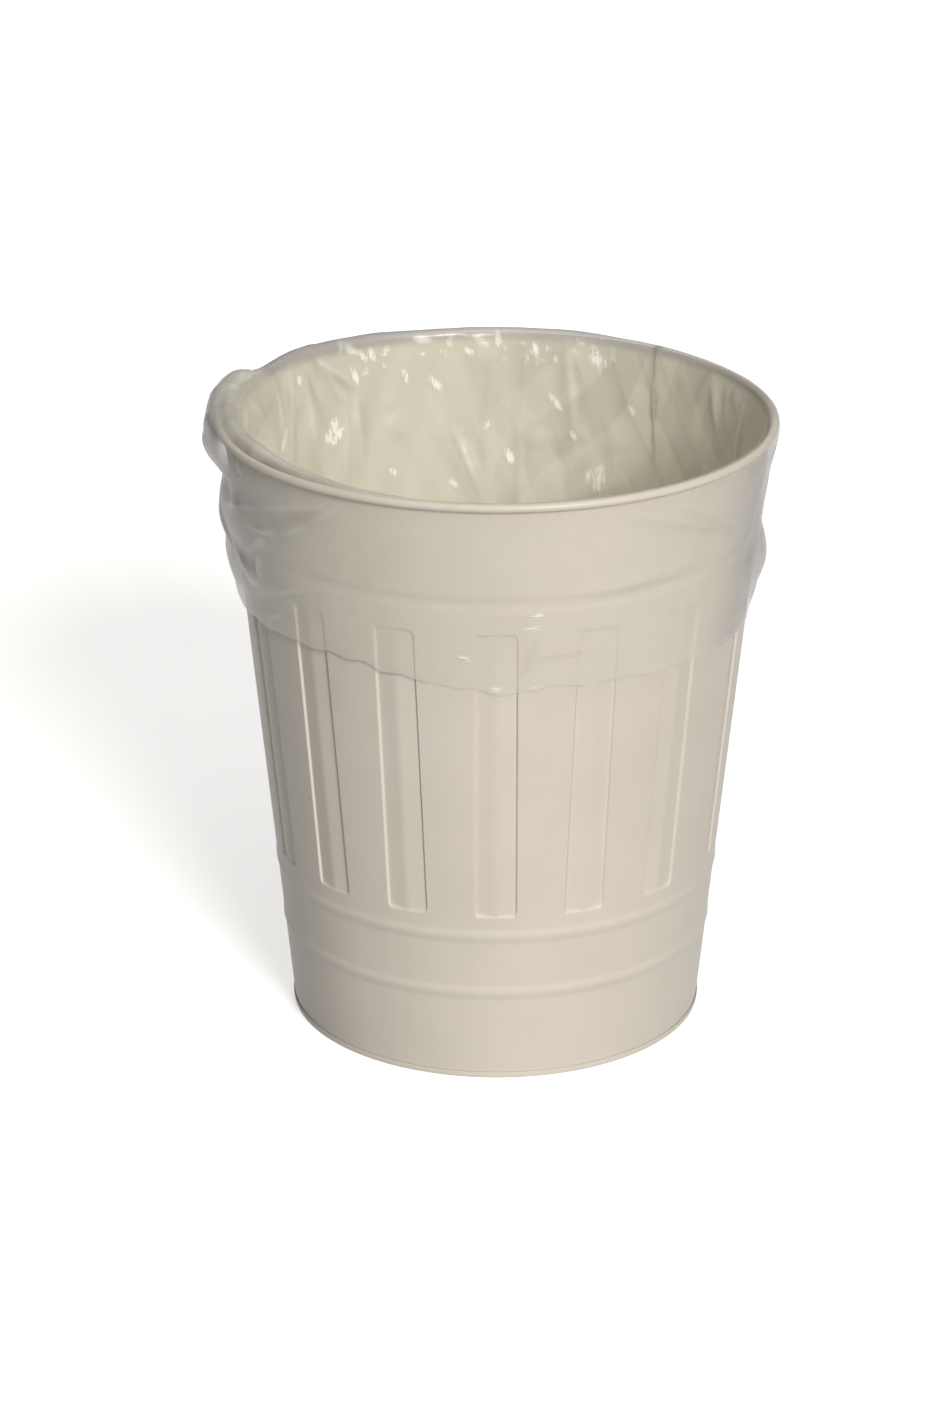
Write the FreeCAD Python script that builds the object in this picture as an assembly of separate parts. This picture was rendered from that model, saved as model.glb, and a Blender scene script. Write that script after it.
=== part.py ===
import FreeCAD
import Part
import math
import os

# A round tapered waste bin of pressed sheet steel with a film liner folded over its rolled rim.
# Millimetres, +Z up. The origin is the centre of the foot ring on the floor, and -Y is the front.

# The can as a whole
overall_height = 300.0
rim_outside_diameter = 266.0
foot_outside_diameter = 200.0
sheet = 0.5

# Rolled rim and the wire inside it
rim_roll_diameter = 4.0
wire_clearance = 0.2
roll_sweep_degrees = 300.0
roll_bend_count = 4

# Folded foot seam and the pressed base
seam_height = 3.0
seam_clearance = 0.05
base_recess = 6.0
base_corner_radius = 3.0
panel_diameter = 150.0
panel_rise = 1.5
panel_step_run = 3.0

# Two outward beads above the foot
lower_bead_height = 46.5
bead_spacing = 30.5
bead_width = 9.0
bead_rise = 0.5

# One inward groove under the rim
groove_below_rim = 50.5
groove_width = 10.5
groove_depth = 0.6

# Flutes pressed into the wall between the beads and the groove
flute_count = 16
flute_above_bead = 10.0
flute_below_groove = 14.5
flute_width = 20.2
flute_depth = 1.0
flute_step_run = 0.9
flute_end_run = 1.6
flute_corner_radius = 2.5
ridge_drop = 0.2
ridge_radius = 13.0

# Lapped side seam on the land beside the rear flute
lap_width = 8.0
lap_above_seam = 1.0
lap_below_rim = 5.0

# Film liner
film = 0.3
film_clearance = 0.35
cuff_length = 93.0
cuff_stand_off = 0.6

# One overrun for every cutting tool, and the distance under which two points are one
overrun = 2.0
same_point = 1e-6

ORIGIN = FreeCAD.Vector(0, 0, 0)
UP = FreeCAD.Vector(0, 0, 1)
ACROSS = FreeCAD.Vector(1, 0, 0)
SECTION_NORMAL = FreeCAD.Vector(0, -1, 0)
REAR_DEGREES = 90.0

# The wall's outer face is a straight line in the section, from the foot to a tangent on the roll's bore.
roll_radius = rim_roll_diameter / 2
roll_bore_radius = roll_radius - sheet
roll_centre = FreeCAD.Vector(rim_outside_diameter / 2 - roll_radius, 0, overall_height - roll_radius)
wall_foot_radius = foot_outside_diameter / 2 - sheet - seam_clearance
foot_to_roll = roll_centre - FreeCAD.Vector(wall_foot_radius, 0, 0)
lean = math.atan2(foot_to_roll.x, foot_to_roll.z) - math.asin(roll_bore_radius / foot_to_roll.Length)
along_wall = FreeCAD.Vector(math.sin(lean), 0, math.cos(lean))
out_of_wall = FreeCAD.Vector(math.cos(lean), 0, -math.sin(lean))

upper_bead_height = lower_bead_height + bead_spacing
groove_height = overall_height - groove_below_rim
flute_bottom = upper_bead_height + flute_above_bead
flute_top = groove_height - flute_below_groove
base_top = base_recess + sheet


def on_wall(height, outward=0.0):
    """Section point at a height, on the line parallel to the wall's outer face at the given distance."""
    radius = wall_foot_radius + height * math.tan(lean) + outward / math.cos(lean)
    return FreeCAD.Vector(radius, 0, height)


def path_edges(corners, offset, normal):
    """Lines and tangent arcs along (point, radius) corners, all moved to the left of the path by offset.

    A radius is the path's own, so the moved path's is more or less by offset, and None is a mitre.
    """
    points = [point for point, radius in corners]
    runs = [(end - start).normalize() for start, end in zip(points, points[1:])]
    lefts = [normal.cross(run) for run in runs]
    at = points[0] + lefts[0] * offset
    edges = []
    for index in range(1, len(runs)):
        before, after = runs[index - 1], runs[index]
        square = lefts[index - 1] + lefts[index]
        corner = points[index] + square * (offset / (1 + lefts[index - 1].dot(lefts[index])))
        turn = before.getAngle(after)
        turns_left = normal.dot(before.cross(after)) > 0
        bend = corners[index][1]
        radius = 0 if bend is None else max(bend - offset if turns_left else bend + offset, 0)
        reach = radius * math.tan(turn / 2)
        middle = corner + (after - before).normalize() * (radius / math.cos(turn / 2) - radius)
        start, end = corner - before * reach, corner + after * reach
        if not at.isEqual(start, same_point):
            edges.append(Part.makeLine(at, start))
        if radius > same_point:
            edges.append(Part.Arc(start, middle, end).toShape())
        at = end
    last = points[-1] + lefts[-1] * offset
    if not at.isEqual(last, same_point):
        edges.append(Part.makeLine(at, last))
    return edges


def strip_face(corners, near, far, normal=SECTION_NORMAL):
    """Flat strip between the path moved left by near and the path moved left by far, with square ends."""
    inner, outer = path_edges(corners, near, normal), path_edges(corners, far, normal)
    ends = [
        Part.makeLine(inner[0].firstVertex().Point, outer[0].firstVertex().Point),
        Part.makeLine(inner[-1].lastVertex().Point, outer[-1].lastVertex().Point),
    ]
    return Part.Face(Part.Wire(Part.__sortEdges__(inner + outer + ends)))


def turned(face, degrees=360.0):
    """The solid that a section makes when it is turned about the can's axis."""
    return face.revolve(ORIGIN, UP, degrees)


def bead_corners(height, width, rise):
    """Three corners whose equal arcs meet to make a smooth bead, outward, or inward for a negative rise."""
    bend = 2 * math.atan(abs(rise) / (width / 2))
    radius = width / 4 / math.sin(bend)
    foot_reach = width / 4 + abs(rise) / 2 / math.tan(bend)
    crest = math.copysign(abs(rise) / 2 + width / 4 * math.tan(bend), rise)
    centre = on_wall(height)
    return [
        (centre - along_wall * foot_reach, radius),
        (centre + out_of_wall * crest, radius),
        (centre + along_wall * foot_reach, radius),
    ]


def beads_and_groove():
    """Corners of the formed wall from the lower bead to the groove."""
    return (
        bead_corners(lower_bead_height, bead_width, bead_rise)
        + bead_corners(upper_bead_height, bead_width, bead_rise)
        + bead_corners(groove_height, groove_width, -groove_depth)
    )


def roll_corners():
    """Corners of the rim's roll along its bore, over the top and round to its cut edge, which ends it."""
    start = math.atan2(-out_of_wall.z, -out_of_wall.x)
    sweep = math.radians(roll_sweep_degrees)
    bend = sweep / roll_bend_count

    def from_centre(angle, distance):
        return roll_centre + FreeCAD.Vector(math.cos(angle), 0, math.sin(angle)) * distance

    corners = []
    for index in range(roll_bend_count):
        angle = start - (index + 0.5) * bend
        corners.append((from_centre(angle, roll_bore_radius / math.cos(bend / 2)), roll_bore_radius))
    return corners + [(from_centre(start - sweep, roll_bore_radius), 0)]


def flute_block(depth_of_skin):
    """The space pressed out by one flute at +Y, grown on every side by the given skin.

    Its floor is a shallow roof with a rounded ridge along the middle, and its four sides are sloped.
    """
    middle = on_wall((flute_bottom + flute_top) / 2)
    half_mouth = flute_width / 2
    half_length = (flute_top - flute_bottom) / 2 / math.cos(lean)
    wall_drop = middle.x - math.sqrt(middle.x**2 - half_mouth**2)
    floor_edge = -(wall_drop + flute_depth)
    low = floor_edge - depth_of_skin - overrun
    high = overrun

    def half_size(mouth, run, level):
        slope = run / flute_depth
        return mouth + level * slope + depth_of_skin * math.hypot(1, slope)

    low_x = half_size(half_mouth, flute_step_run, low + wall_drop)
    high_x = half_size(half_mouth, flute_step_run, high + wall_drop)
    low_z = half_size(half_length, flute_end_run, low)
    high_z = half_size(half_length, flute_end_run, high)
    column = Part.makeWedge(-low_x, low, -low_z, -high_z, -high_x, low_x, high, low_z, high_z, high_x)
    upright = [e for e in column.Edges if abs(e.firstVertex().Y - e.lastVertex().Y) > overrun]
    column = column.makeFillet(flute_corner_radius + depth_of_skin, upright)

    floor_slope = (-ridge_drop - floor_edge) / (half_mouth - flute_step_run)
    reach = half_mouth + overrun
    floor_end = -ridge_drop - floor_slope * reach
    floor_line = [
        (FreeCAD.Vector(-reach, floor_end, 0), 0),
        (FreeCAD.Vector(0, -ridge_drop, 0), ridge_radius),
        (FreeCAD.Vector(reach, floor_end, 0), 0),
    ]
    roof = strip_face(floor_line, -depth_of_skin, high - low, UP)
    roof.translate(UP * -high_z)
    block = column.common(roof.extrude(UP * 2 * high_z))
    block.rotate(ORIGIN, ACROSS, -math.degrees(lean))
    block.translate(FreeCAD.Vector(0, middle.x, middle.z))
    return block


def all_round(shape):
    """Copies of a shape at +Y, one for each flute."""
    copies = []
    for index in range(flute_count):
        copy = shape.copy()
        copy.rotate(ORIGIN, UP, index * 360.0 / flute_count)
        copies.append(copy)
    return copies


def lap_strip():
    """The outer layer of the side seam, one sheet thick on the wall, on the land beside the rear flute."""
    lap_bottom = on_wall(seam_height + lap_above_seam)
    lap_top = on_wall(overall_height - lap_below_rim)
    corners = [(lap_bottom, 0)] + beads_and_groove() + [(lap_top, 0)]
    width_degrees = math.degrees(lap_width / on_wall(groove_height).x)
    strip = turned(strip_face(corners, 0, -sheet), width_degrees)
    land_degrees = REAR_DEGREES + 180.0 / flute_count
    strip.rotate(ORIGIN, UP, land_degrees - width_degrees / 2)
    return strip


def make_body_shell():
    """One sheet: cone with beads, groove and rolled rim, the flutes pressed in, and the lapped seam."""
    wall_bottom = on_wall(sheet + seam_clearance)
    plain = turned(strip_face([(wall_bottom, 0)] + beads_and_groove() + roll_corners(), 0, sheet))
    band_bottom, band_top = on_wall(flute_bottom - flute_end_run), on_wall(flute_top + flute_end_run)
    band_height = band_top.z - band_bottom.z
    core = Part.makeCone(band_bottom.x, band_top.x, band_height, UP * band_bottom.z)
    pressed_out = flute_block(0)
    dish = flute_block(sheet).cut(pressed_out).common(core)
    fluted = plain.cut(all_round(pressed_out)).fuse(all_round(dish))
    return fluted.fuse(lap_strip()).removeSplitter()


def make_rim_wire():
    """The wire hoop that the rim is rolled round."""
    return Part.makeTorus(roll_centre.x, roll_bore_radius - wire_clearance, UP * roll_centre.z)


def make_base_pan():
    """Pressed base with a raised middle panel, its edge folded down, under and up round the wall's edge."""
    wall_gap = seam_clearance
    inside = -sheet - seam_clearance
    panel_top = base_top + panel_rise
    corners = [
        (on_wall(seam_height, wall_gap), 0),
        (on_wall(sheet, wall_gap), 0),
        (on_wall(sheet, inside), 0),
        (on_wall(base_top, inside), base_corner_radius),
        (FreeCAD.Vector(panel_diameter / 2 + panel_step_run, 0, base_top), None),
        (FreeCAD.Vector(panel_diameter / 2, 0, panel_top), None),
        (FreeCAD.Vector(0, 0, panel_top), 0),
    ]
    return turned(strip_face(corners, 0, sheet))


def make_liner_bag():
    """Bag that stands on the base, follows the wall past the flutes and turns over the rim into a cuff."""
    inside = -sheet - flute_depth - film_clearance
    floor_level = base_top + panel_rise + film_clearance
    over_rim = overall_height + film_clearance
    turn_radius = roll_radius + film_clearance
    hem_level = overall_height - cuff_length
    hem = on_wall(hem_level, sheet + film_clearance + cuff_stand_off)
    beside_rim = FreeCAD.Vector(rim_outside_diameter / 2 + film_clearance, 0, roll_centre.z)
    cuff_lean = (beside_rim - hem).normalize()
    cuff_top = beside_rim + cuff_lean * (turn_radius / cuff_lean.z)
    corners = [
        (hem, 0),
        (cuff_top, turn_radius),
        (on_wall(over_rim, inside), turn_radius),
        (on_wall(floor_level, inside), None),
        (FreeCAD.Vector(0, 0, floor_level), 0),
    ]
    return turned(strip_face(corners, 0, -film))


os.makedirs("parts", exist_ok=True)
make_body_shell().exportStep("parts/body_shell.step")
make_rim_wire().exportStep("parts/rim_wire.step")
make_base_pan().exportStep("parts/base_pan.step")
make_liner_bag().exportStep("parts/liner_bag.step")
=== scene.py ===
import math

import bpy
import numpy as np
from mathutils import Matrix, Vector


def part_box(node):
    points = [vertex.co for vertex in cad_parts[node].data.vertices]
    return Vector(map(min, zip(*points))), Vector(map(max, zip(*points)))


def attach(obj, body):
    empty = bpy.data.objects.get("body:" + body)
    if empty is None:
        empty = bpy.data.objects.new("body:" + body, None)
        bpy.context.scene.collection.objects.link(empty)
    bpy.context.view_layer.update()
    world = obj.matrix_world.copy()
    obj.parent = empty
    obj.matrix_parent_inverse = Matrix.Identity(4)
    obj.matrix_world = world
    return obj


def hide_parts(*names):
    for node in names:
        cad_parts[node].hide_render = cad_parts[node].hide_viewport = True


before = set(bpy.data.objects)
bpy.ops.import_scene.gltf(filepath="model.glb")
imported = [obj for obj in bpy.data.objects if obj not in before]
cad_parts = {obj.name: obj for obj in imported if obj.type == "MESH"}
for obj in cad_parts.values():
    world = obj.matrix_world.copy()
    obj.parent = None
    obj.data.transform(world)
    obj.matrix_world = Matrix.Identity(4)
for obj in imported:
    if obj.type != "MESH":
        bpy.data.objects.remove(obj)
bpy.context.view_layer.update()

# Base pan
# A disc of sheet steel pressed with a raised middle panel and coated like the wall. Its edge is folded
# down, under and up round the wall's bottom edge, and that fold is the ring that the can stands on.
MM = 0.001
SHEET = 0.5 * MM
SEAM_GAP = 0.05 * MM
SEAM_HEIGHT = 3 * MM
FOLD_BEND = 0.1 * MM
BASE_TOP = 6.5 * MM
BASE_CORNER = 3 * MM
PANEL_RADIUS = 75 * MM
PANEL_RISE = 1.5 * MM
PANEL_STEP = 3 * MM
PANEL_BEND = 1.2 * MM
BASE_COLUMNS = 240

WALL_FOOT = 99.45 * MM
RIM_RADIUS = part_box("body_shell")[1].x
CAN_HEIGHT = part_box("body_shell")[1].z
ROLL_RADIUS = 2 * MM
ROLL_BORE = ROLL_RADIUS - SHEET
ROLL_CENTRE = np.array([RIM_RADIUS - ROLL_RADIUS, CAN_HEIGHT - ROLL_RADIUS])
foot_to_roll = ROLL_CENTRE - [WALL_FOOT, 0]
WALL_LEAN = math.atan2(*foot_to_roll) - math.asin(ROLL_BORE / np.linalg.norm(foot_to_roll))


def wall_radius(height, outward=0.0):
    """Radius at a height on the cone that lies outward of the wall's outer face by the given distance."""
    return WALL_FOOT + height * math.tan(WALL_LEAN) + outward / math.cos(WALL_LEAN)


def bent_path(corners, offset=0.0, steps=7, least_bend=0.05 * MM):
    """Points along straight runs between (radius, height, bend) corners, moved left by offset.

    Each inner corner gives way to an arc tangent to both runs. Its radius is the corner's bend, less the
    offset where the path turns left and plus the offset where it turns right.
    """
    corners = np.array(corners, float)
    place, bend = corners[:, :2], corners[1:-1, 2]
    run = np.diff(place, axis=0)
    run /= np.linalg.norm(run, axis=1, keepdims=True)
    left = np.stack([-run[:, 1], run[:, 0]], 1)
    before, after = run[:-1], run[1:]
    side = np.sign(before[:, 0] * after[:, 1] - before[:, 1] * after[:, 0])
    turn = np.arccos(np.clip((before * after).sum(1), -1, 1))
    mitre = (left[:-1] + left[1:]) / (1 + (left[:-1] * left[1:]).sum(1))[:, None]
    radius = np.maximum(bend - side * offset, least_bend)
    start = place[1:-1] + mitre * offset - before * (radius * np.tan(turn / 2))[:, None]
    centre = start + left[:-1] * (side * radius)[:, None]
    angle = (turn[:, None] * np.linspace(0, 1, steps))[..., None]
    spoke = before[:, None] * np.sin(angle) - (left[:-1] * side[:, None])[:, None] * np.cos(angle)
    arcs = centre[:, None] + spoke * radius[:, None, None]
    ends = place[[0, -1]] + left[[0, -1]] * offset
    return np.vstack([ends[:1], arcs.reshape(-1, 2), ends[1:]])


def around(radius, height, turn):
    """Points at a radius, a height and a turn about the can's axis, from the front towards the right."""
    return np.stack(np.broadcast_arrays(radius * np.sin(turn), -radius * np.cos(turn), height), -1)


def grid_object(name, points, loop=False, first_pole=False, last_pole=False):
    """Smooth object whose quads join a rows by columns array of points, with the left of a row outside.

    The columns always close on themselves. The rows close too for a loop, and a pole is a row that is one
    point with a fan of triangles.
    """
    index = np.arange(points.shape[0] * points.shape[1]).reshape(points.shape[:2])
    if first_pole:
        index[0] = index[0, 0]
    if last_pole:
        index[-1] = index[-1, 0]
    used, index = np.unique(index, return_inverse=True)
    index = index.reshape(points.shape[:2])
    low, high = (index, np.roll(index, -1, 0)) if loop else (index[:-1], index[1:])
    quads = np.stack([low, high, np.roll(high, -1, 1), np.roll(low, -1, 1)], -1).reshape(-1, 4)
    opens, closes = quads[:, 0] == quads[:, 3], quads[:, 1] == quads[:, 2]
    faces = quads[~opens & ~closes].tolist()
    faces += quads[opens][:, :3].tolist() + quads[closes][:, [0, 1, 3]].tolist()
    mesh = bpy.data.meshes.new(name)
    mesh.from_pydata(points.reshape(-1, 3)[used].tolist(), [], faces)
    mesh.shade_smooth()
    made = bpy.data.objects.new(name, mesh)
    bpy.context.scene.collection.objects.link(made)
    return made, used


def linear(hex_colour):
    """Linear RGBA of an sRGB hex colour such as 'E2DACB'."""
    shares = np.array([int(hex_colour[i:i + 2], 16) for i in (0, 2, 4)]) / 255
    return (*np.where(shares <= 0.04045, shares / 12.92, ((shares + 0.055) / 1.055) ** 2.4), 1.0)


def add_node(tree, kind, inputs=None, **settings):
    """A new node with its settings, whose inputs are values or the sockets that feed them."""
    node = tree.nodes.new(kind)
    for name, value in settings.items():
        setattr(node, name, value)
    for name, value in (inputs or {}).items():
        if isinstance(value, bpy.types.NodeSocket):
            tree.links.new(value, node.inputs[name])
        else:
            node.inputs[name].default_value = value
    return node


def powder_coat():
    """Cream polyester powder sprayed on steel and baked. The eye gets a satin sheen broken by a fine orange
    peel, slow changes of gloss, and a tone that is never quite even.
    """
    peel_size, cloud_size = 1.1 * MM, 45 * MM
    peel_height = 0.012 * MM
    material = bpy.data.materials.new("cream_powder_coat")
    material.use_nodes = True
    tree = material.node_tree
    shader = tree.nodes["Principled BSDF"]
    shader.inputs["Specular IOR Level"].default_value = 0.35
    place = add_node(tree, "ShaderNodeTexCoord").outputs["Object"]
    peel = add_node(tree, "ShaderNodeTexNoise", {"Vector": place, "Scale": 1 / peel_size, "Detail": 1.0})
    cloud = add_node(tree, "ShaderNodeTexNoise", {"Vector": place, "Scale": 1 / cloud_size, "Detail": 3.0})
    tone = add_node(tree, "ShaderNodeValToRGB", {"Fac": cloud.outputs["Fac"]})
    tone.color_ramp.elements[0].position = 0.3
    tone.color_ramp.elements[0].color = linear("D6CFC3")
    tone.color_ramp.elements[1].position = 0.7
    tone.color_ramp.elements[1].color = linear("DBD4C9")
    gloss = add_node(tree, "ShaderNodeMapRange", {
        "Value": cloud.outputs["Fac"], "To Min": 0.36, "To Max": 0.46})
    relief = add_node(tree, "ShaderNodeBump", {"Height": peel.outputs["Fac"], "Distance": peel_height})
    tree.links.new(tone.outputs["Color"], shader.inputs["Base Color"])
    tree.links.new(gloss.outputs["Result"], shader.inputs["Roughness"])
    tree.links.new(relief.outputs["Normal"], shader.inputs["Normal"])
    return material


coat = powder_coat()
folded_edge = -SHEET - SEAM_GAP
base_corners = [
    (wall_radius(SEAM_HEIGHT, SEAM_GAP), SEAM_HEIGHT, 0),
    (wall_radius(SHEET, SEAM_GAP), SHEET, FOLD_BEND),
    (wall_radius(SHEET, folded_edge), SHEET, FOLD_BEND),
    (wall_radius(BASE_TOP, folded_edge), BASE_TOP, BASE_CORNER),
    (PANEL_RADIUS + PANEL_STEP, BASE_TOP, PANEL_BEND),
    (PANEL_RADIUS, BASE_TOP + PANEL_RISE, PANEL_BEND),
    (0, BASE_TOP + PANEL_RISE, 0),
]
base_section = np.vstack([bent_path(base_corners)[::-1], bent_path(base_corners, SHEET)])
base_turns = np.linspace(0, 2 * math.pi, BASE_COLUMNS, endpoint=False)
base_points = around(base_section[:, :1], base_section[:, 1:], base_turns)
base_pan, _ = grid_object("pressed_base_pan", base_points, first_pole=True, last_pole=True)
base_pan.data.materials.append(coat)
base_pan.modifiers.new("flat faces stay flat", "WEIGHTED_NORMAL")
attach(base_pan, "can")
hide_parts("base_pan")

# Wall of the can
# One sheet of steel rolled to a cone and lapped at the back. It is pressed with two beads, sixteen roofed
# flutes and a groove, its top edge is rolled outwards round a wire, and all of it is powder coated.
BEAD_HEIGHTS = (46.5 * MM, 77 * MM)
BEAD_WIDTH = 9 * MM
BEAD_RISE = 0.5 * MM
GROOVE_HEIGHT = 249.5 * MM
GROOVE_WIDTH = 10.5 * MM
GROOVE_DEPTH = 0.6 * MM
FLUTE_COUNT = 16
FLUTE_BOTTOM = 87 * MM
FLUTE_TOP = 235 * MM
FLUTE_HALF_WIDTH = 10.1 * MM
FLUTE_DEPTH = 1.0 * MM
FLUTE_STEP = 0.9 * MM
FLUTE_END_STEP = 1.6 * MM
FLUTE_CORNER = 2.5 * MM
RIDGE_DROP = 0.2 * MM
RIDGE_HALF_WIDTH = 1.75 * MM
LAP_HALF_TURN = math.radians(1.84)
LAP_BOTTOM = 4 * MM
LAP_TOP = 295 * MM
LAP_STEP = 0.3 * MM
WALL_BOTTOM = SHEET + SEAM_GAP
ROLL_SWEEP = math.radians(300)
FLUTE_PITCH = 2 * math.pi / FLUTE_COUNT
LAP_TURN = math.pi + FLUTE_PITCH / 2


def smooth_step(share):
    """Rise from 0 to 1 that starts and ends level, as three squares less two cubes."""
    share = np.clip(share, 0, 1)
    return share * share * (3 - 2 * share)


def bead(height, middle, width, rise):
    """Rounded bead across the wall: a crest arc between two foot arcs of one radius, tangent to them."""
    bend = 2 * math.atan(rise / (width / 2))
    radius = width / 4 / math.sin(bend)
    away = np.abs(height - middle)
    crest = rise - radius + np.sqrt(np.maximum(radius**2 - away**2, 0))
    to_foot = np.clip(width / 2 - away, 0, width / 4)
    foot = radius - np.sqrt(radius**2 - to_foot**2)
    return np.where(away < width / 4, crest, foot)


def pressed_relief(turn, height):
    """How far the sheet is pressed out of the plain cone: beads outward, groove and flutes inward.

    A flute's floor is a flat roof on each side of a rounded ridge. It falls from the flute's border by a
    smooth step, and the border is a rectangle with rounded corners.
    """
    radius = wall_radius(height)
    off_middle = (turn + FLUTE_PITCH / 2) % FLUTE_PITCH - FLUTE_PITCH / 2
    across = np.abs(radius * np.sin(off_middle))
    fall_of_cone = radius - radius * np.cos(off_middle)
    mouth_fall = wall_radius((FLUTE_BOTTOM + FLUTE_TOP) / 2)
    mouth_fall -= math.sqrt(mouth_fall**2 - FLUTE_HALF_WIDTH**2)
    slope = (mouth_fall + FLUTE_DEPTH - RIDGE_DROP) / (FLUTE_HALF_WIDTH - FLUTE_STEP)
    ridge = across**2 / (2 * RIDGE_HALF_WIDTH) + RIDGE_HALF_WIDTH / 2
    roof = RIDGE_DROP + slope * np.where(across < RIDGE_HALF_WIDTH, ridge, across) - fall_of_cone
    from_end = np.minimum(height - FLUTE_BOTTOM, FLUTE_TOP - height) * (FLUTE_STEP / FLUTE_END_STEP)
    to_side, to_end = FLUTE_CORNER - FLUTE_HALF_WIDTH + across, FLUTE_CORNER - from_end
    corner = np.hypot(np.maximum(to_side, 0), np.maximum(to_end, 0))
    inside = FLUTE_CORNER - corner - np.minimum(np.maximum(to_side, to_end), 0)
    relief = -roof * smooth_step(inside / FLUTE_STEP)
    for middle in BEAD_HEIGHTS:
        relief = relief + bead(height, middle, BEAD_WIDTH, BEAD_RISE)
    return relief - bead(height, GROOVE_HEIGHT, GROOVE_WIDTH, GROOVE_DEPTH)


def lap_relief(turn, height):
    """One sheet's thickness over the lapped strip at the back, with small steps at its edges."""
    from_side = wall_radius(height) * (LAP_HALF_TURN - np.abs(turn % (2 * math.pi) - LAP_TURN))
    from_end = np.minimum(height - LAP_BOTTOM, LAP_TOP - height)
    return SHEET * smooth_step(np.minimum(from_side, from_end) / LAP_STEP)


# Columns follow the flutes' parallel edges: a column's turn is a fixed part and a share of the turn that a
# distance from a flute's middle takes at that height, so that the same columns fit every height.
half_flute = np.array([0, 0.9, 1.75, 5.5, 8.8, 9.2, 9.4, 9.6, 9.8, 10.0, 10.2, 10.6]) * MM
flute_places = np.concatenate([-half_flute[:0:-1], half_flute])
land_shares = np.array([0.2, 0.5, 0.8])
lap_turns = np.array([-1.14, -1.0, -0.95, -0.9, -0.8, 0, 0.8, 0.9, 0.95, 1.0, 1.14]) * LAP_HALF_TURN
fixed_turns, turn_shares, places = [], [], []
for flute in range(FLUTE_COUNT):
    middle = flute * FLUTE_PITCH
    is_lapped = math.isclose(middle + FLUTE_PITCH / 2, LAP_TURN)
    land_turns = FLUTE_PITCH / 2 + lap_turns if is_lapped else land_shares * FLUTE_PITCH
    fixed_turns += [np.full(len(flute_places), middle), middle + land_turns]
    land_turn_shares = np.zeros(len(lap_turns)) if is_lapped else 1 - 2 * land_shares
    turn_shares += [np.ones(len(flute_places)), land_turn_shares]
    places += [flute_places, np.full(len(land_turns), half_flute[-1])]
fixed_turns, turn_shares, places = map(np.concatenate, (fixed_turns, turn_shares, places))

# Rows of the wall by height, closer together where the sheet bends.
bead_rows = np.linspace(-0.5, 0.5, 13)
end_rows = np.array([0, 0.32, 0.64, 0.96, 1.28, 1.6, 2.1, 2.8, 3.8]) * MM
roll_start = math.pi - WALL_LEAN
roll_top = ROLL_CENTRE[1] + ROLL_BORE * math.sin(roll_start)
wall_rows = np.concatenate([
    [WALL_BOTTOM, 0.5 * LAP_BOTTOM, LAP_BOTTOM],
    LAP_BOTTOM + np.array([0.1, 0.2, 0.3, 15]) * MM,
    BEAD_HEIGHTS[0] + bead_rows * BEAD_WIDTH,
    [sum(BEAD_HEIGHTS) / 2],
    BEAD_HEIGHTS[1] + bead_rows * BEAD_WIDTH,
    FLUTE_BOTTOM - np.array([3, 0.6]) * MM,
    FLUTE_BOTTOM + end_rows,
    np.linspace(FLUTE_BOTTOM, FLUTE_TOP, 5)[1:-1],
    FLUTE_TOP - end_rows[::-1],
    FLUTE_TOP + np.array([0.6, 5]) * MM,
    GROOVE_HEIGHT + bead_rows * GROOVE_WIDTH,
    LAP_TOP - np.array([28, 14, 0.3, 0.2, 0.1, 0]) * MM,
    [(LAP_TOP + roll_top) / 2, roll_top],
])[:, None]
wall_turns = fixed_turns + turn_shares * np.arcsin(places / wall_radius(wall_rows))
pressed = pressed_relief(wall_turns, wall_rows)
lapped = pressed + lap_relief(wall_turns, wall_rows)
outer_face = around(wall_radius(wall_rows, lapped), wall_rows, wall_turns)
inner_face = around(wall_radius(wall_rows, pressed - SHEET), wall_rows, wall_turns)
roll_angles = roll_start - ROLL_SWEEP * np.linspace(0, 1, 30)[:, None]
bore_angles = roll_start - ROLL_SWEEP * np.linspace(1, 0, 14)[:-1, None]
roll_points = [
    around(ROLL_CENTRE[0] + size * np.cos(angles), ROLL_CENTRE[1] + size * np.sin(angles), wall_turns[-1])
    for angles, size in ((roll_angles, ROLL_RADIUS), (bore_angles, ROLL_BORE))
]
wall_points = np.vstack([outer_face[::-1], inner_face, *roll_points])
wall, _ = grid_object("pressed_wall", wall_points, loop=True)
wall.data.materials.append(coat)
wall.modifiers.new("flat faces stay flat", "WEIGHTED_NORMAL")
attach(wall, "can")
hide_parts("body_shell")

# Rim wire
# A hoop of drawn mild steel wire that the top edge of the wall is rolled round. It keeps the mouth round
# and stiff, and only the gap under the roll shows it.


def drawn_wire():
    """Bright drawn steel, oiled and a little dull. The eye gets a grey metal with a fine uneven grain."""
    grain_size = 0.4 * MM
    material = bpy.data.materials.new("drawn_steel_wire")
    material.use_nodes = True
    tree = material.node_tree
    shader = tree.nodes["Principled BSDF"]
    shader.inputs["Metallic"].default_value = 1.0
    place = add_node(tree, "ShaderNodeTexCoord").outputs["Object"]
    grain = add_node(tree, "ShaderNodeTexNoise", {"Vector": place, "Scale": 1 / grain_size, "Detail": 2.0})
    tone = add_node(tree, "ShaderNodeValToRGB", {"Fac": grain.outputs["Fac"]})
    tone.color_ramp.elements[0].color = linear("8E8F91")
    tone.color_ramp.elements[1].color = linear("B4B5B6")
    gloss = add_node(tree, "ShaderNodeMapRange", {
        "Value": grain.outputs["Fac"], "To Min": 0.3, "To Max": 0.45})
    tree.links.new(tone.outputs["Color"], shader.inputs["Base Color"])
    tree.links.new(gloss.outputs["Result"], shader.inputs["Roughness"])
    return material


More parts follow.
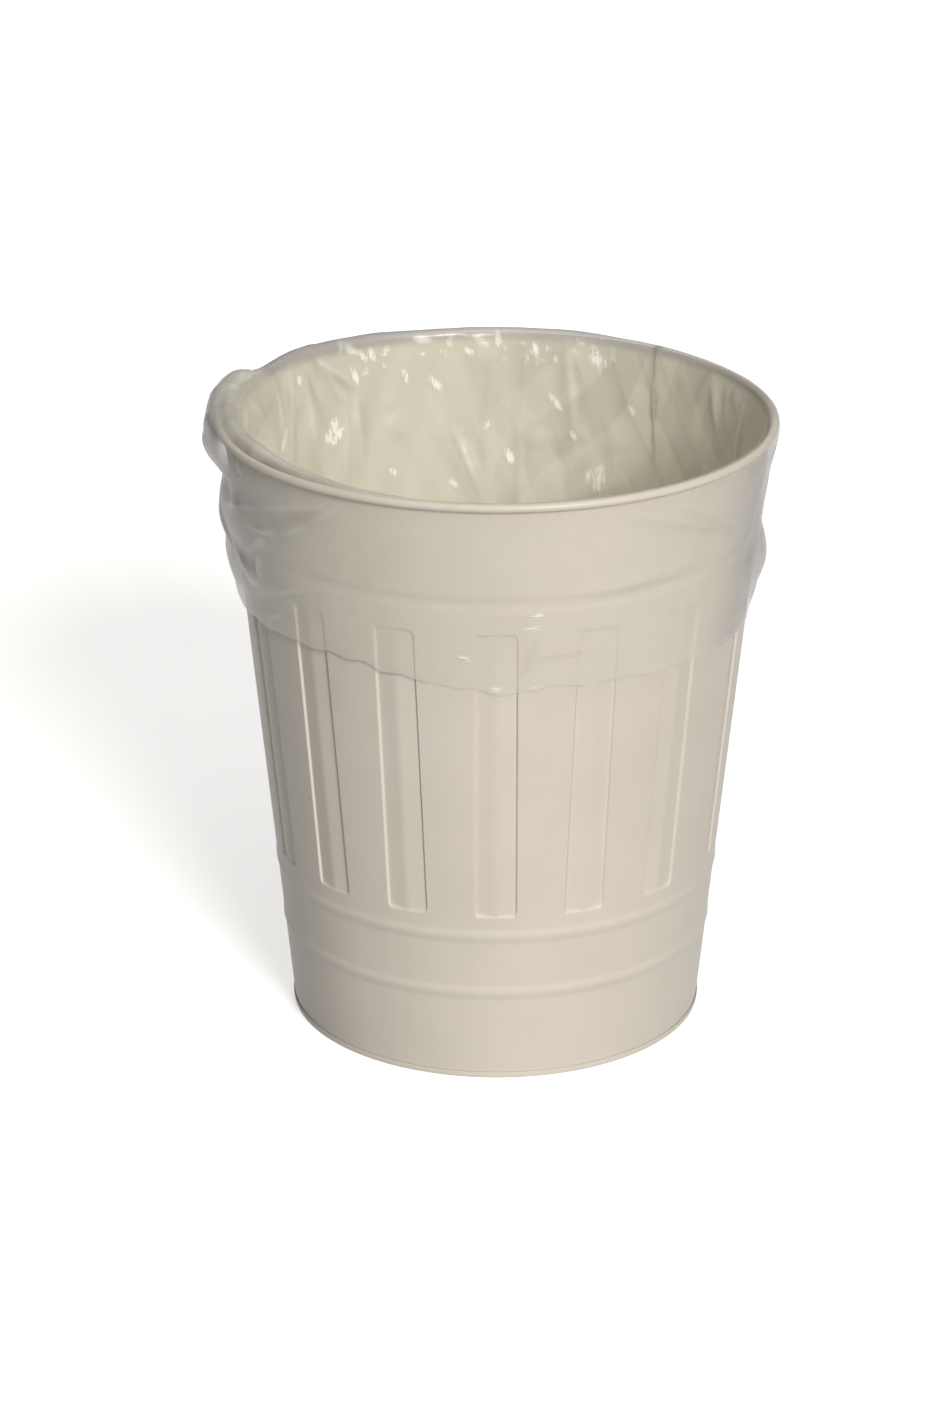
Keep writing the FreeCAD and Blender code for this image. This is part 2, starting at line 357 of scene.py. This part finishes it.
rim_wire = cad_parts["rim_wire"]
rim_wire.data.materials.clear()
rim_wire.data.materials.append(drawn_wire())

# Liner bag
# A flat polythene bag, welded along its bottom, opened inside the can and folded over the rim as a cuff.
# It is wider than the can, so it gathers in pleats below, and the cuff hugs the rim or stands loose.
FILM_GAP = 0.3 * MM
FILM_FROM_WALL = 1.75 * MM
FLOOR_GAP = 0.4 * MM
BAG_FLOOR = BASE_TOP + PANEL_RISE + FLOOR_GAP
BAG_CORNER = 14 * MM
CUFF_LENGTH = 93 * MM
CUFF_FROM_WALL = 0.9 * MM
FILM_COLUMNS = 512

# Folds and marks are listed by turn in degrees and run in millimetres. A fold's turn is measured along the
# film at this radius in millimetres, and a fold fades out a quarter past its ends.
FOLD_RADIUS = 128.0
FOLD_FADE = 1.25


def seeded(count, low, high, seed):
    """The same evenly spread random numbers at every run."""
    return np.random.default_rng(seed).uniform(low, high, count)


def creases(turn, run, lines):
    """Straight ridges that fade out towards their ends, joined by the larger of them at each place.

    A line is (turn, run, turn, run, height, flank, flank), and its flanks are how far the ridge falls on its
    left and on its right. Along the line the height falls as the square of one less a square.
    """
    folds = np.zeros_like(run)
    for from_turn, from_run, to_turn, to_run, height, left, right in lines:
        reach = np.array([math.radians(to_turn - from_turn) * FOLD_RADIUS, to_run - from_run])
        half = np.linalg.norm(reach) / 2
        ahead = reach / (2 * half)
        aside = turn - math.radians((from_turn + to_turn) / 2)
        aside = ((aside + math.pi) % (2 * math.pi) - math.pi) * FOLD_RADIUS
        along = run - (from_run + to_run) / 2
        far = np.clip(1 - ((aside * ahead[0] + along * ahead[1]) / (FOLD_FADE * half)) ** 2, 0, 1) ** 2
        off = along * ahead[0] - aside * ahead[1]
        ridge = np.clip(1 - np.abs(off) / np.where(off > 0, left, right), 0, 1)
        folds = np.maximum(folds, height * ridge * far)
    return folds


def eased(place, points):
    """Height at a place along a list of (place, height) points, which smooth steps join."""
    places, heights = np.array(points, float).T
    index = np.clip(np.searchsorted(places, place, "right") - 1, 0, len(places) - 2)
    share = (place - places[index]) / (places[index + 1] - places[index])
    return heights[index] + (heights[index + 1] - heights[index]) * smooth_step(share)


def pleats(turn, run):
    """Upright folds inside that take up the bag's spare width, as an uneven triangle wave that deepens
    from nothing below the rim to the bottom, where the can is narrowest.
    """
    count, deepest = 26, 7.0
    start, deepening = 25, 260
    sway = 0.35 * np.sin(3 * turn + 0.6) + 0.25 * np.sin(5 * turn + 2.1)
    sway += 0.003 * run * np.sin(2 * turn + 1.0)
    wave = np.abs(2 * ((count * turn / (2 * math.pi) + sway) % 1) - 1)
    depth = deepest * smooth_step((-run - start) / deepening) * (0.75 + 0.25 * np.sin(7 * turn + 0.4))
    return depth * wave**1.4


def crumple(turn, run, waves=5):
    """Flat facets all over the film, as a sum of slanted triangle waves that sway, come and go, and that
    settle towards the bottom, where the pleats take over. Waves is how many of them are summed.

    A wave is (count round the bag, length down the film, height, phase).
    """
    slanted_waves = [
        (13, 97, 1.6, 0.1), (19, -71, 1.3, 0.4), (29, 47, 0.9, 0.7), (37, -37, 0.6, 0.2),
        (53, 29, 0.35, 0.9),
    ]
    settled, settle_start, settling = 0.75, 80, 70
    facets = np.zeros_like(run)
    for count, length, height, phase in slanted_waves[:waves]:
        sway = 0.35 * np.sin(2 * turn + run / 60 + count) + 0.2 * np.sin(5 * turn - run / 35)
        sway += 0.9 * smooth_step((-run - 70) / 60) * np.sin(3 * turn + run / 23 + 2 * count)
        wave = np.abs(2 * ((count * turn / (2 * math.pi) + run / length + phase + sway) % 1) - 1)
        patch = 0.5 + 0.5 * np.sin(3 * turn + count + run / (2 * abs(length)))
        facets += height * wave * patch
    return facets * (1 - settled * smooth_step((-run - settle_start) / settling))


def film_profile():
    """Section of the bag from the middle of its floor to past its hem, as its run, its radius and height,
    and its left normal. The run is measured along the film from the top of the rim, positive down the cuff.
    """
    past_hem = 0.2
    over_rim, beside_rim = CAN_HEIGHT + FILM_GAP, RIM_RADIUS + FILM_GAP
    hem = CAN_HEIGHT - CUFF_LENGTH
    hem_radius = wall_radius(hem, CUFF_FROM_WALL)
    cuff_slope = (beside_rim - hem_radius) / (ROLL_CENTRE[1] - hem)
    corners = [
        (0, BAG_FLOOR, 0),
        (wall_radius(BAG_FLOOR, -FILM_FROM_WALL), BAG_FLOOR, BAG_CORNER),
        (wall_radius(over_rim, -FILM_FROM_WALL), over_rim, ROLL_RADIUS + FILM_GAP),
        (beside_rim + cuff_slope * (over_rim - ROLL_CENTRE[1]), over_rim, ROLL_RADIUS + FILM_GAP),
        (hem_radius - cuff_slope * past_hem * CUFF_LENGTH, hem - past_hem * CUFF_LENGTH, 0),
    ]
    path = bent_path(corners, steps=40)
    length = np.concatenate([[0], np.cumsum(np.linalg.norm(np.diff(path, axis=0), axis=1))])
    run = length - length[np.argmax(path[:, 1])]
    tangent = np.gradient(path, run, axis=0)
    tangent /= np.linalg.norm(tangent, axis=1, keepdims=True)
    return run, path, np.stack([-tangent[:, 1], tangent[:, 0]], 1)


# Rows of the film by run: its floor and corner, the lower wall, the upper wall, the rim and the cuff.
profile_run, profile_path, profile_normal = film_profile()
floor_run = profile_run[0] / MM
film_rows = np.concatenate([
    floor_run + np.array([0, 6, 16, 28, 40, 52, 62, 72, 78, 83, 88, 92, 97]),
    np.linspace(floor_run + 103, -150, 24),
    np.linspace(-148, -4, 74),
    np.linspace(-3, 4, 9),
    np.linspace(5.2, CUFF_LENGTH / MM, 62),
])
film_turns = np.linspace(-math.pi, math.pi, FILM_COLUMNS, endpoint=False)
turn_grid, run_grid = np.meshgrid(film_turns, film_rows)
turn_degrees = np.degrees(turn_grid)

# The hem hangs lowest in front, and two fine waves make its cut uneven. The cuff's rows stretch to it.
hem_runs = [
    (-180, 88), (-100, 86), (-60, 88), (-49, 88.5), (-39, 87.7), (-34, 89.2), (-29, 88.2), (-25, 91.4),
    (-21, 92.3), (-14, 93.7), (-6, 95.8), (0.5, 98.6), (6, 97.4), (14, 95.4), (26, 95.5), (40, 96.6),
    (62, 97), (100, 96), (180, 88),
]
hem_run = eased(turn_degrees, hem_runs) + 0.5 * np.sin(23 * turn_grid) + 0.35 * np.sin(41 * turn_grid + 1)
run_grid = np.where(run_grid > 0, run_grid * hem_run / (CUFF_LENGTH / MM), run_grid)

# Loose film: how far it stands off round the can, each with its shares down the film, or the other way
# round for the sides of the cuff. A roll lies on the rim, an ear on its left and a shelf inside it.
rim_roll = [
    (-180, 2.2), (-165, 2.3), (-150, 3.6), (-133, 4.0), (-120, 1.8), (-115, 2.8), (-110, 6.6), (-88, 3.8),
    (-76, 1.8), (-63, 0), (66, 0), (90, 0.3), (118, 0.4), (145, 1.0), (168, 2.2), (180, 2.2),
]
roll_shares = [(-20, 0), (-3.6, 0.05), (0.5, 1), (14, 0.9), (25, 0.1), (34, 0), (120, 0)]
ear_roll = [(-180, 0), (-116, 0), (-100, 2.4), (-84, 3.4), (-74, 1.8), (-62, 0), (180, 0)]
ear_drop_shares = [(-300, 0), (0, 0), (6, 0.5), (12, 1), (18, 0.9), (25, 0), (120, 0)]
inner_roll = [
    (-180, 0), (-130, 0), (-108, 3), (-85, 5.5), (-62, 6.5), (-45, 4.2), (-28, 1.6), (-14, 0), (180, 0),
]
inner_shares = [
    (-300, 0), (-70, 0), (-30, 0.45), (-11, 1.1), (-4, 1.1), (-2, 1), (-1.2, 0.7), (0.6, 0), (120, 0),
]
left_cuff = [
    (-300, 0), (14, 0), (26, -0.9), (45, 3.4), (57, 2.4), (68, 4.4), (84, 2.0), (95, 0.6), (120, 0.6),
]
left_shares = [(-180, 0), (-140, 0.5), (-110, 0.9), (-92, 1), (-72, 0.8), (-46, 0), (180, 0)]
right_cuff = [(-300, 0), (10, 0), (30, -1.8), (50, -1.2), (71, 4.3), (82, 1.9), (95, 0.1), (120, 0.1)]
right_shares = [(-180, 0), (48, 0), (74, 0.7), (90, 1), (120, 0.7), (160, 0.4), (180, 0)]
lift = eased(turn_degrees, rim_roll) * eased(run_grid, roll_shares)
lift += eased(turn_degrees, ear_roll) * eased(run_grid, ear_drop_shares)
shelf = eased(turn_degrees, inner_roll) * eased(run_grid, inner_shares)
lift += shelf
lift += eased(turn_degrees, left_shares) * eased(run_grid, left_cuff)
lift += eased(turn_degrees, right_shares) * eased(run_grid, right_cuff)

# Folds, as lines for creases: soft ones that catch no light, those inside, those on the cuff, and small
# ones scattered over the inside, more of them near the rim.
soft_folds = [
    (-177.4, 0, -177.2, -130, 0.9, 4, 4), (174.7, 0, 174.4, -130, 0.9, 4, 4),
    (-112, -26, -106, 16, 0.4, 5, 7), (-103, -30, -99, 18, 0.5, 8, 5), (-90, -24, -84, 20, 0.4, 5, 8),
    (-138, -10, -134, 12, 0.7, 4, 5),
    (20, 8, 70, 44, 1.0, 6, 4), (34, 9, 62, 40, 1.0, 4, 4), (72, 46, 46, 43, 0.7, 5, 6),
    (48, 43, 12, 50, 0.7, 5, 5), (70, 48, 34, 56, 0.6, 5, 6), (74, 44, 88, 20, 0.6, 5, 5),
    (7, 80, 24, 76.7, 0.5, 3, 3),
]
inside_folds = [
    (142.4, 0, 138.5, -70, 2.0, 1.8, 13),
    (-133.7, 0, -146.2, -25, 2.2, 7, 5), (-146.2, -22, -146, -70, 2.6, 8, 5),
    (-127, 0, -123.6, -60, 2.4, 7, 6), (-119.5, -2, -122.5, -50, 1.8, 5, 6),
    (-131, -1, -133, -60, 2.2, 6, 8), (-136.5, -3, -145, -39, 1.8, 5, 7),
    (-143, -20, -141, -70, 1.6, 6, 6), (-170, -50, -178.5, -95, 1.8, 9, 5),
    (164, -4, 160.5, -60, 1.4, 7, 4), (124.5, -2, 117.6, -40, 1.6, 6, 5), (109.4, -4, 111, -50, 1.4, 6, 6),
    (-100, -4, -96, -60, 1.8, 6, 6), (60, -6, 64, -70, 1.5, 7, 6), (20, -5, 16, -80, 1.6, 7, 6),
]
cuff_folds = [
    (-64, 6, -62, 14, 1.6, 4, 3), (-62, 13, -72.5, 30, 2.0, 4, 4), (-76, 37, -55, 25, 1.6, 4, 3),
    (-57, 26, -36, 12, 1.2, 3, 3), (-62, 38, -50, 35, 1.8, 3, 4),
    (-51, 35, -41, 25, 1.6, 3, 4), (-42, 25, -33, 12, 1.2, 3, 4),
    (-73, 53, -59, 69, 2.0, 4, 3), (-55, 38, -65, 56, 1.8, 3, 4), (-59, 50, -60.5, 64, 1.2, 3, 3),
    (-63, 72.5, -41, 57, 1.6, 2.5, 4), (-60, 83, -53, 78, 1.2, 3, 3), (-84, 40, -74, 60, 1.6, 5, 4),
    (100, 60, 140, 30, 2.0, 7, 6), (150, 70, 175, 40, 1.8, 7, 5), (-170, 30, -140, 60, 2.0, 6, 7),
    (-120, 30, -105, 60, 2.2, 5, 6), (-112, 70, -140, 80, 1.4, 5, 5), (120, 80, 165, 84, 1.2, 4, 5),
]
scattered_count = 130
scattered = np.stack([
    seeded(scattered_count, -180, 180, 1), -seeded(scattered_count, 0, 1, 2) ** 1.3 * 240 - 2,
    seeded(scattered_count, -9, 9, 3), seeded(scattered_count, -45, 45, 4),
    seeded(scattered_count, 0.3, 1.1, 5),
    seeded(scattered_count, 3, 10, 6), seeded(scattered_count, 3, 10, 7),
], 1)
scattered[:, 2:4] += scattered[:, :2]
folds = creases(turn_grid, run_grid, soft_folds + inside_folds + cuff_folds + scattered.tolist())

# Film drawn over the rim is smooth close to it, unless it stands off loosely there. The cuff is less
# crumpled than the inside, and the floor lies nearly flat but for the upright weld across its middle.
loose_lift, loose_share = 6, 0.8
cuff_crumple, inside_crumple, crumple_reach = 0.25, 0.65, 16
floor_share, floor_reach = 0.15, 70
weld_rise, weld_half_width = 2.2, 3
weld_end, weld_fade = 96, 8
middle_rise = 2 * MM
smooth_reach = eased(turn_degrees, [(-180, 4), (-130, 4), (-110, 9), (120, 9), (150, 4), (180, 4)])
fold_share = np.maximum(
    smooth_step(np.abs(run_grid) / smooth_reach), np.clip(lift / loose_lift, 0, loose_share)
)
crumple_share = cuff_crumple + inside_crumple * smooth_step(-run_grid / crumple_reach)
stand_off = lift + (folds + crumple(turn_grid, run_grid) * crumple_share) * fold_share
stand_off += pleats(turn_grid, run_grid) * (run_grid < 0)
from_middle = run_grid - floor_run
stand_off *= smooth_step(from_middle / floor_reach) * (1 - floor_share) + floor_share
from_weld = np.abs(from_middle * np.cos(turn_grid))
weld = np.clip(1 - from_weld / weld_half_width, 0, 1) * smooth_step((weld_end - from_middle) / weld_fade)
stand_off += weld_rise * weld

film_radius, film_height, out_radius, out_height = (
    np.interp(run_grid * MM, profile_run, column)
    for column in (*profile_path.T, *profile_normal.T)
)
film_points = around(
    film_radius + out_radius * stand_off * MM, film_height + out_height * stand_off * MM, turn_grid
)
film_points[0] = (0, 0, BAG_FLOOR + middle_rise)
liner, used = grid_object("film_liner_bag", film_points, first_pole=True)

# Marks that the material reads at each point of the film, from 0 to 1. Shade is the dark side of a fold,
# as lines for creases. The facet shading is painted light and shade, from the slopes of the two longest
# waves of the crumple.
shade_lines = [
    (143.8, 16, 140.4, -25, 1.4, 1.5, 1.8), (140.9, -14, 139.2, -42, 1.4, 1.5, 1.8),
    (142, 0, 138.5, -60, 0.35, 1, 14), (-177.3, 0, -177.5, -70, 0.3, 1, 5),
    (174.7, 0, 174.5, -42, 0.4, 1, 6), (174.5, -38, 172.5, -72, 0.35, 1, 7),
    (-129.9, 0, -137.5, -40, 0.55, 5, 3), (-134, -1, -138, -11, 0.5, 5, 1),
    (-137.5, -9, -146, -23, 0.6, 5, 1.2), (-146, -21, -146.4, -55, 0.5, 1, 9),
    (-124, -3, -127, -60, 0.35, 6, 3), (-119, -4, -120, -50, 0.3, 6, 2),
    (-133, -46, -136, -80, 0.4, 9, 1), (-167.5, -47, -172.6, -68, 0.4, 1, 9),
    (-172, -65, -178, -92, 0.4, 1, 9), (164.3, -8, 165.2, -40, 0.3, 6, 2),
    (162, -8, 159.6, -28, 0.4, 8, 1), (159.7, -25, 160.2, -52, 0.4, 8, 1),
    (168, -52, 163.2, -68, 0.4, 1, 9), (163.2, -65, 162.9, -92, 0.4, 1, 9),
    (161, -74, 155.8, -60, 0.4, 1, 7), (156.5, -61, 145, -53, 0.35, 1, 7),
    (126.2, -4, 127.8, -28, 0.45, 4, 8), (123.8, -2, 124.8, -42, 0.5, 3, 7),
    (119.6, -2, 118, -55, 0.5, 5, 6), (137.5, -38, 130, -64, 0.45, 2, 9),
    (115.3, -7, 114.9, -34, 0.45, 4, 5), (108, -4, 109, -50, 0.4, 6, 4), (101, -3, 100, -45, 0.4, 4, 6),
    (-70, 37, -48, 30, 0.75, 5, 5), (-54, 32, -34, 13, 0.75, 6, 6), (-64, 75, -42, 60, 0.5, 1, 4),
    (-26, 35, -27, 52, 0.25, 2, 2), (-23.8, 31, -21, 42, 0.25, 2, 2), (-70, 14, -50, 12, 0.3, 8, 8),
    (-80, 48, -66, 76, 0.35, 1, 6), (-104, 16, -70, 20, 0.15, 9, 9), (24, 10, 68, 43, 0.4, 3, 2),
    (36, 10, 64, 40, 0.4, 3, 2), (48, 48, 14, 52, 0.25, 4, 2), (9.4, 66, 4, 97, 0.35, 2.5, 3.5),
    (7, 80, 24, 76.7, 0.35, 2, 2),
]
shade_mark = creases(turn_grid, run_grid, shade_lines)
steepest_facet = 0.13
row_step = np.gradient(run_grid, axis=0)
facet_slope = np.gradient(crumple(turn_grid, run_grid, waves=2), axis=0) / row_step
painted_facet_shading = np.clip(0.5 + facet_slope / steepest_facet, 0, 1)
fold_lines = [(*line[:4], 0.6, 2.8, 2.8) for line in inside_folds]
fold_lines += [(*line[:4], 1.0, 1.5, 1.5) for line in cuff_folds]
fold_mark = creases(turn_grid, run_grid, fold_lines)

# The edge and shade mark is the cut hem's dark line, partly painted shade under the hem, and a painted
# grey on the crest of the film along the back of the rim, where it is seen edge-on.
hem_line_width = 1.2
hem_shares = [(-180, 0.6), (-60, 0.9), (-24, 0.9), (-12, 0.2), (40, 0.15), (60, 0.3), (180, 0.6)]
from_hem = run_grid[-1:] - run_grid
hem_mark = np.clip(1 - from_hem / hem_line_width, 0, 1) * eased(turn_degrees, hem_shares)
crest_shares = [
    (-180, 0.5), (-165, 0.58), (-120, 0.58), (-112, 0), (80, 0), (105, 0.6), (150, 0.6), (180, 0.5),
]
crest_mark = eased(turn_degrees, crest_shares) * eased(run_grid, [(-6, 0), (-1, 1), (6, 1), (12, 0)])
edge_and_shade_mark = np.maximum(hem_mark, crest_mark)

# Loose film and the sides of the cuff, seen edge-on, are painted grey for the dim room they reflect, the
# inside is cream, and under the ear the change from one to the other is wider and lies further out.
full_loose_lift = 4
loose_mark = np.clip(lift / full_loose_lift, 0, 1)
painted_grey_shares = [
    (-180, 0.2), (-125, 0.3), (-98, 0.8), (-78, 0.8), (-48, 0), (48, 0), (72, 0.8), (98, 0.8), (125, 0.3),
    (180, 0.2),
]
painted_grey = eased(turn_degrees, painted_grey_shares) * np.maximum(loose_mark, smooth_step(run_grid / 12))
ear_shares = [(-180, 0), (-124, 0), (-110, 1), (-70, 1), (-58, 0), (180, 0)]
ear = eased(turn_degrees, ear_shares)
inside_mark = smooth_step((1 + 10 * ear - run_grid) / (6 + 18 * ear))
milky_mark = smooth_step((-run_grid + 0.8 * eased(turn_degrees, rim_roll)) / 6)
cuff_mark = smooth_step((run_grid - 3) / 14)

# Glints as (turn, run, turn, run, width), painted in white as highlights: those inside, those on the front
# of the cuff, and specks of glint scattered along the back of the rim.
glints = [
    (158.3, -2, 155.6, -19, 2.4), (-135.5, -48, -140.5, -37, 2.4), (-137.5, -50, -142, -40, 1.6),
    (-141, -36, -137.5, -38, 1.4), (154, -62, 155.5, -82, 3.0), (157, -66, 158, -76, 1.4),
    (-120, -44, -123.5, -30, 1.5), (-145.5, -12, -146.5, -22, 1.6), (-164, -20, -167.5, -31, 1.8),
    (180, 1, 179.5, -10, 1.6), (172, -4, 170.5, -13, 1.5), (168.5, -30, 164, -40, 1.5),
    (178, -58, 175.5, -70, 2.0), (-153, -66, -156, -71, 1.5), (-178.5, -45, -176.5, -50, 1.4),
    (-143, -1, -148, -6, 1.6), (-158, -15, -159, -25, 1.6), (-172, -8, -175, -12, 1.5),
    (-150, -2, -151, -12, 1.6), (-147, -3, -149.5, -11, 1.4), (-155, -3, -153, -10, 1.5),
    (-160, -2, -166, -4, 1.5), (-116, -60, -117.5, -70, 1.5), (-130, -8, -129, -14, 1.4),
    (163, -48, 160, -54, 1.4), (-168, -74, -171, -80, 1.5), (148, -30, 146, -38, 1.4),
]
cuff_glints = [
    (6.3, 59.2, 10.2, 57, 1.1), (4, 65, 11, 64.5, 1.1), (-8.8, 78.5, -4.8, 81.6, 1.1),
    (-2.2, 95.2, 2, 95.7, 1.5), (6, 96.2, 10.6, 94.2, 1.1),
]
speck_count = 34
specks = np.stack([
    seeded(speck_count, 140, 226, 8), -2 - 11 * seeded(speck_count, 0, 1, 9),
    seeded(speck_count, -4, 4, 10), seeded(speck_count, -7, 7, 11), seeded(speck_count, 1.0, 2.4, 12),
], 1)
specks[:, 2:4] += specks[:, :2]
strokes = [
    (*line[:4], height, flank * line[4], flank * line[4])
    for lines, height, flank in ((glints, 1.0, 1.7), (specks.tolist(), 0.6, 1.6), (cuff_glints, 0.9, 1.9))
    for line in lines
]
glint_mark = creases(turn_grid, run_grid, strokes)

# Haze is the share of what lies behind that the film hides: little on a clear layer, more inside, on the
# cuff, at folds and edges, and where the film stands loose.
loose_shares = [(-180, 0.5), (0, 0.5), (40, 0.25), (110, 0.3), (180, 0.5)]
haze = 0.11 + 0.15 * cuff_mark + 0.52 * milky_mark
haze += 0.30 * (fold_mark + edge_and_shade_mark + shade_mark)
haze += 0.012 * shelf + 0.10 * painted_grey * cuff_mark
haze += eased(turn_degrees, loose_shares) * loose_mark * (1 - milky_mark)
# Painted light and shade of the facets: the film is milkier on facets sloping one way, clearer on the other.
haze += 0.30 * (painted_facet_shading - 0.5) * inside_mark
marks = {
    "haze": haze, "edge": edge_and_shade_mark, "inside": inside_mark, "grey": painted_grey, "fold": fold_mark,
    "shade": shade_mark, "glint": glint_mark,
}
for name, values in marks.items():
    attribute = liner.data.attributes.new(name, "FLOAT", "POINT")
    attribute.data.foreach_set("value", np.clip(values, 0, 1).ravel()[used].astype(np.float32))


def polythene_film():
    """Blown polythene film, clear and a little milky. The eye gets its gloss, sharp glints on its creases
    that are painted in white, a grey haze where it is folded, stands loose or is seen along its surface, the
    grey a painted reflection of the dim room, painted light and shade on its facets, and a fine dark line at
    its cut hem with painted shade under it.
    """
    ripple_size = 9 * MM
    ripple_height = 0.25 * MM
    upright_streak = np.array([1.3, 1.3, 6.0]) * MM
    level_streak = np.array([9.0, 9.0, 0.9]) * MM
    material = bpy.data.materials.new("clear_polythene_film")
    material.use_nodes = True
    tree = material.node_tree
    shader = tree.nodes["Principled BSDF"]
    shader.inputs["IOR"].default_value = 1.51
    shader.inputs["Specular IOR Level"].default_value = 1.0
    place = add_node(tree, "ShaderNodeTexCoord").outputs["Object"]
    haze, edge, inside, grey, fold, shade, glint = (
        add_node(tree, "ShaderNodeAttribute", attribute_name=name).outputs["Fac"]
        for name in ("haze", "edge", "inside", "grey", "fold", "shade", "glint")
    )
    ripple = add_node(tree, "ShaderNodeTexNoise", {"Vector": place, "Scale": 1 / ripple_size, "Detail": 3.0})
    waves = add_node(tree, "ShaderNodeBump", {"Height": ripple.outputs["Fac"], "Distance": ripple_height})

    # A mix takes its share at socket 0, vectors at sockets 4 and 5, and colours at sockets 6 and 7.
    upright = add_node(tree, "ShaderNodeMapping", {"Vector": place, "Scale": 1 / upright_streak})
    level = add_node(tree, "ShaderNodeMapping", {"Vector": place, "Scale": 1 / level_streak})
    stretched = add_node(tree, "ShaderNodeMix", {
        0: inside, 4: level.outputs["Vector"], 5: upright.outputs["Vector"]}, data_type="VECTOR")
    streaks = add_node(tree, "ShaderNodeTexNoise", {
        "Vector": stretched.outputs[1], "Scale": 1.0, "Detail": 2.0, "Distortion": 0.6})
    fibres = add_node(tree, "ShaderNodeMapRange", {
        "Value": streaks.outputs["Fac"], "From Min": 0.35, "From Max": 0.62, "To Min": 0.3, "To Max": 1.0})
    # Painted highlights: the glint strokes, broken into streaks, are painted white and opaque.
    broken = add_node(tree, "ShaderNodeMath", {0: fibres.outputs["Result"], 1: glint}, operation="MULTIPLY")
    white = add_node(tree, "ShaderNodeMapRange", {
        "Value": broken.outputs["Value"], "From Min": 0.08, "From Max": 0.85, "To Min": 0.0, "To Max": 0.85},
        interpolation_type="SMOOTHSTEP")
    edge_on = add_node(tree, "ShaderNodeLayerWeight", {"Blend": 0.3})
    grazing = add_node(tree, "ShaderNodeMath", {0: edge_on.outputs["Facing"], 1: 0.4}, operation="MULTIPLY")
    milky = add_node(tree, "ShaderNodeMath", {0: haze, 1: grazing.outputs["Value"]}, operation="ADD")
    cover = add_node(tree, "ShaderNodeMath", {0: milky.outputs["Value"], 1: white.outputs["Result"]},
                     operation="ADD", use_clamp=True)
    # Grey is a painted reflection of the dim room, shade is painted shade beside folds, edge is the hem's
    # dark line with painted shade and the crest's painted grey, and white is the painted glints.
    colour = linear("F4F0E4")
    for share, hex_colour in ((grey, "A9A3A8"), (inside, "EBE8D7"), (fold, "E6E3DE"), (shade, "ADA593"),
                              (edge, "86808A"), (white.outputs["Result"], "FFFFFC")):
        mix = add_node(tree, "ShaderNodeMix", {0: share, 6: colour, 7: linear(hex_colour)}, data_type="RGBA")
        colour = mix.outputs[2]
    gloss = add_node(tree, "ShaderNodeMapRange", {
        "Value": ripple.outputs["Fac"], "To Min": 0.26, "To Max": 0.38})
    tree.links.new(colour, shader.inputs["Base Color"])
    tree.links.new(gloss.outputs["Result"], shader.inputs["Roughness"])
    tree.links.new(waves.outputs["Normal"], shader.inputs["Normal"])
    tree.links.new(cover.outputs["Value"], shader.inputs["Alpha"])
    return material


liner.data.materials.append(polythene_film())
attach(liner, "liner")
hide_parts("liner_bag")

# Studio
# A white paper floor that glows like a light table, a low soft key light from the front right, weaker lamps
# from the left, above, behind and below, a dim room all round and the camera.
FLOOR_HALF = 60.0
floor_mesh = bpy.data.meshes.new("floor")
floor_mesh.from_pydata(
    [(-FLOOR_HALF, -FLOOR_HALF, 0), (FLOOR_HALF, -FLOOR_HALF, 0), (FLOOR_HALF, FLOOR_HALF, 0),
     (-FLOOR_HALF, FLOOR_HALF, 0)], [], [(0, 1, 2, 3)])
floor = bpy.data.objects.new("floor", floor_mesh)
bpy.context.scene.collection.objects.link(floor)
paper = bpy.data.materials.new("white_studio_paper")
paper.use_nodes = True
paper_shader = paper.node_tree.nodes["Principled BSDF"]
paper_shader.inputs["Base Color"].default_value = linear("F8F8F8")
paper_shader.inputs["Roughness"].default_value = 0.8
paper_shader.inputs["Emission Color"].default_value = linear("FFFFFF")
paper_shader.inputs["Emission Strength"].default_value = 0.45
floor.data.materials.append(paper)
floor.visible_diffuse = False
floor.visible_shadow = False

world = bpy.data.worlds.new("pale_room")
world.use_nodes = True
world.node_tree.nodes["Background"].inputs["Color"].default_value = linear("F1F1F3")
world.node_tree.nodes["Background"].inputs["Strength"].default_value = 0.07
bpy.context.scene.world = world


def soft_light(name, turn, height, strength, spread, shines=True):
    """A far warm lamp at a turn and a height in degrees. Its spread softens the shadows, and a lamp that
    does not shine gives no highlights.
    """
    lamp = bpy.data.lights.new(name, "SUN")
    lamp.energy = strength
    lamp.angle = math.radians(spread)
    lamp.color = linear("FFFCF7")[:3]
    light = bpy.data.objects.new(name, lamp)
    light.visible_glossy = shines
    level, rise = math.cos(math.radians(height)), math.sin(math.radians(height))
    towards = Vector(around(level, rise, math.radians(turn)))
    light.rotation_euler = towards.to_track_quat("Z", "Y").to_euler()
    bpy.context.scene.collection.objects.link(light)


soft_light("key_light", 22, 27, 2.48, 18)
soft_light("fill_light", -26, 30, 0.3, 40)
soft_light("top_light", 10, 68, 0.6, 50)
soft_light("back_light", 180, 35, 1.0, 20, shines=False)
soft_light("floor_glow", 10, -40, 0.5, 60)

CAMERA_LENS = 111.48
CAMERA_DISTANCE = 2.1096
CAMERA_AIM_HEIGHT = 0.1530
CAMERA_ELEVATION = 0.3805
CAMERA_YAW = -0.0065
camera = bpy.data.objects.new("camera", bpy.data.cameras.new("camera"))
camera.data.lens = CAMERA_LENS
level, rise = math.cos(CAMERA_ELEVATION), math.sin(CAMERA_ELEVATION)
camera.location = (0, -CAMERA_DISTANCE * level, CAMERA_AIM_HEIGHT + CAMERA_DISTANCE * rise)
ahead = Vector((0, level, -rise)) * math.cos(CAMERA_YAW) + Vector((1, 0, 0)) * math.sin(CAMERA_YAW)
camera.rotation_euler = ahead.to_track_quat("-Z", "Y").to_euler()
bpy.context.scene.collection.objects.link(camera)
bpy.context.scene.camera = camera
bpy.context.scene.view_settings.view_transform = "Standard"
